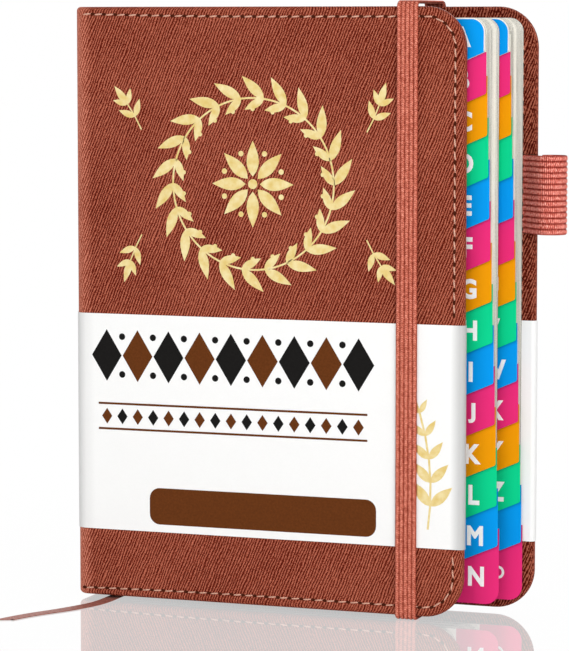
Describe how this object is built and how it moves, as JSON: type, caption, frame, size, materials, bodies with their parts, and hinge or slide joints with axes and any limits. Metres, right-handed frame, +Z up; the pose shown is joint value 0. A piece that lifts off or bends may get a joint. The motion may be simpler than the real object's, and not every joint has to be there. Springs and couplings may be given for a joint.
{
  "type": "address book",
  "caption": "Leather-bound address book with stepped tiers of coloured index tabs, elastic strap, pen loop, ribbon marker and a paper belly band; it opens flat.",
  "frame": {"origin": "on the table under the middle of the closed book's box, pen loop included, ribbon tail left out", "axes": "+Z up the covers from tail to head, +X from the spine to the fore-edge, -Y out of the front cover"},
  "size_m": [0.167, 0.0739, 0.1961],
  "materials": {
    "cover_leather": "satin",
    "board": "matte",
    "band_paper": "satin",
    "page_paper": "matte",
    "endpaper": "matte",
    "lining_cloth": "matte",
    "end_band_cloth": "matte",
    "strap_elastic": "matte",
    "loop_elastic": "matte",
    "ribbon_satin": "satin",
    "tab_blue": "satin",
    "tab_pink": "satin",
    "tab_orange": "satin",
    "tab_green": "satin"
  },
  "bodies": {
    "back_cover": {"back_board": "board", "back_leather": "cover_leather", "back_pastedown": "endpaper", "back_flyleaf": "page_paper", "band_back": "band_paper", "pen_loop": "loop_elastic"},
    "spine": {"spine_board": "board", "spine_leather": "cover_leather", "spine_lining": "lining_cloth", "head_band": "end_band_cloth", "tail_band": "end_band_cloth", "front_joint_leather": "cover_leather", "back_joint_leather": "cover_leather", "band_spine": "band_paper", "band_front_joint": "band_paper", "band_back_joint": "band_paper"},
    "front_cover": {"front_board": "board", "front_leather": "cover_leather", "front_pastedown": "endpaper", "band_front": "band_paper"},
    "strap": {"elastic_strap": "strap_elastic"},
    "leaves_1": {"tab_a": "tab_blue", "tab_b": "tab_pink", "tab_c": "tab_orange", "tab_d": "tab_green", "leaves_1": "page_paper", "front_flyleaf": "page_paper"},
    "leaves_2": {"tab_e": "tab_blue", "tab_f": "tab_pink", "tab_g": "tab_orange", "tab_h": "tab_green", "leaves_2": "page_paper"},
    "leaves_3": {"tab_i": "tab_blue", "tab_j": "tab_pink", "tab_k": "tab_orange", "tab_l": "tab_green", "leaves_3": "page_paper"},
    "leaves_4": {"tab_m": "tab_blue", "tab_n": "tab_pink", "tab_o": "tab_blue", "tab_p": "tab_pink", "leaves_4": "page_paper", "ribbon_inner": "ribbon_satin", "ribbon_tail": "ribbon_satin"},
    "leaves_5": {"tab_q": "tab_orange", "tab_r": "tab_green", "tab_s": "tab_blue", "tab_t": "tab_pink", "leaves_5": "page_paper"},
    "leaves_6": {"tab_u": "tab_orange", "tab_v": "tab_green", "tab_w": "tab_blue", "tab_x": "tab_pink", "leaves_6": "page_paper"},
    "leaves_7": {"tab_y": "tab_orange", "tab_z": "tab_green", "tab_blank": "tab_blue", "tab_ring": "tab_pink", "leaves_7": "page_paper"}
  },
  "joints": [
    {"name": "spine_hinge", "type": "hinge", "parent": "back_cover", "child": "spine", "pos_m": [-0.07601, 0.01032, 0], "axis": [0, 0, -1], "range_deg": [0, 90], "deforming": ["back_joint_leather", "band_back_joint"]},
    {"name": "front_cover_hinge", "type": "hinge", "parent": "spine", "child": "front_cover", "pos_m": [-0.07601, -0.01032, 0], "axis": [0, 0, -1], "range_deg": [0, 90], "deforming": ["front_joint_leather", "band_front_joint"]},
    {"name": "strap_release", "type": "hinge", "parent": "back_cover", "child": "strap", "pos_m": [0.03459, 0.01437, 0], "axis": [0, 0, 1], "range_deg": [0, 180], "deforming": ["elastic_strap"]},
    {"name": "leaf_turn_7", "type": "hinge", "parent": "back_cover", "child": "leaves_7", "pos_m": [-0.07601, 0.00967, 0], "axis": [0, 0, -1], "range_deg": [0, 22.5]},
    {"name": "leaf_turn_6", "type": "hinge", "parent": "leaves_7", "child": "leaves_6", "pos_m": [-0.07601, 0.00695, 0], "axis": [0, 0, -1], "range_deg": [0, 22.5]},
    {"name": "leaf_turn_5", "type": "hinge", "parent": "leaves_6", "child": "leaves_5", "pos_m": [-0.07601, 0.00423, 0], "axis": [0, 0, -1], "range_deg": [0, 22.5]},
    {"name": "leaf_turn_4", "type": "hinge", "parent": "leaves_5", "child": "leaves_4", "pos_m": [-0.07601, 0.00151, 0], "axis": [0, 0, -1], "range_deg": [0, 22.5]},
    {"name": "leaf_turn_3", "type": "hinge", "parent": "leaves_4", "child": "leaves_3", "pos_m": [-0.07601, -0.00151, 0], "axis": [0, 0, -1], "range_deg": [0, 22.5]},
    {"name": "leaf_turn_2", "type": "hinge", "parent": "leaves_3", "child": "leaves_2", "pos_m": [-0.07601, -0.00423, 0], "axis": [0, 0, -1], "range_deg": [0, 22.5]},
    {"name": "leaf_turn_1", "type": "hinge", "parent": "leaves_2", "child": "leaves_1", "pos_m": [-0.07601, -0.00695, 0], "axis": [0, 0, -1], "range_deg": [0, 22.5]}
  ],
  "couplings": [
    {"joint": "spine_hinge", "follows": "front_cover_hinge", "ratio": 1},
    {"joint": "strap_release", "follows": "front_cover_hinge", "ratio": 2},
    {"joint": "leaf_turn_7", "follows": "front_cover_hinge", "ratio": 0.25},
    {"joint": "leaf_turn_6", "follows": "front_cover_hinge", "ratio": 0.25},
    {"joint": "leaf_turn_5", "follows": "front_cover_hinge", "ratio": 0.25},
    {"joint": "leaf_turn_4", "follows": "front_cover_hinge", "ratio": 0.25},
    {"joint": "leaf_turn_3", "follows": "front_cover_hinge", "ratio": 0.25},
    {"joint": "leaf_turn_2", "follows": "front_cover_hinge", "ratio": 0.25},
    {"joint": "leaf_turn_1", "follows": "front_cover_hinge", "ratio": 0.25}
  ]
}
